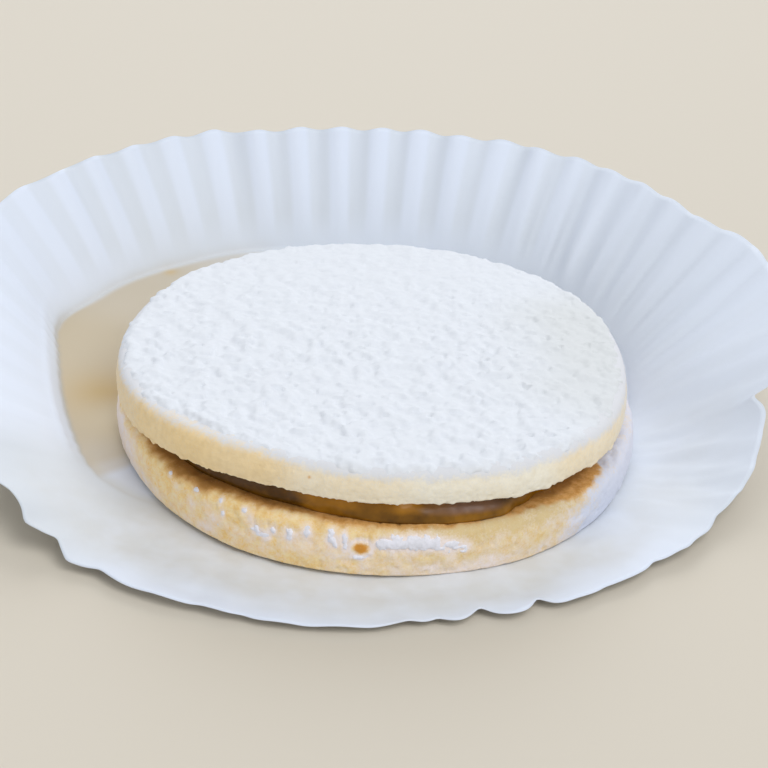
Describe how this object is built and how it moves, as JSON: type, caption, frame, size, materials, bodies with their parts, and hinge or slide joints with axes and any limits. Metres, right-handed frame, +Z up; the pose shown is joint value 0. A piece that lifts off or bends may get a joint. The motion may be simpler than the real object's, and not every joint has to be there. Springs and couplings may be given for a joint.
{
  "type": "alfajor cookie",
  "caption": "Round shortbread sandwich biscuit with a dulce de leche filling and an icing sugar top, lying off-centre in a fluted white paper case that is pressed flat at its front.",
  "frame": {"origin": "centre of the paper case's flat base, on its underside, where it stands on the table", "axes": "+Z up; +Y towards the side where the case's wall still stands up, behind the cookie; +X to the right when looking along +Y, towards the side that the cookie lies nearer to"},
  "size_m": [0.1017, 0.0959, 0.0149],
  "materials": {
    "icing_sugar": "matte",
    "shortbread": "matte",
    "dulce_de_leche": "gloss",
    "case_paper": "matte"
  },
  "bodies": {
    "root": {"top_biscuit": "icing_sugar", "bottom_biscuit": "shortbread", "filling": "dulce_de_leche", "paper_case": "case_paper"}
  },
  "joints": []
}
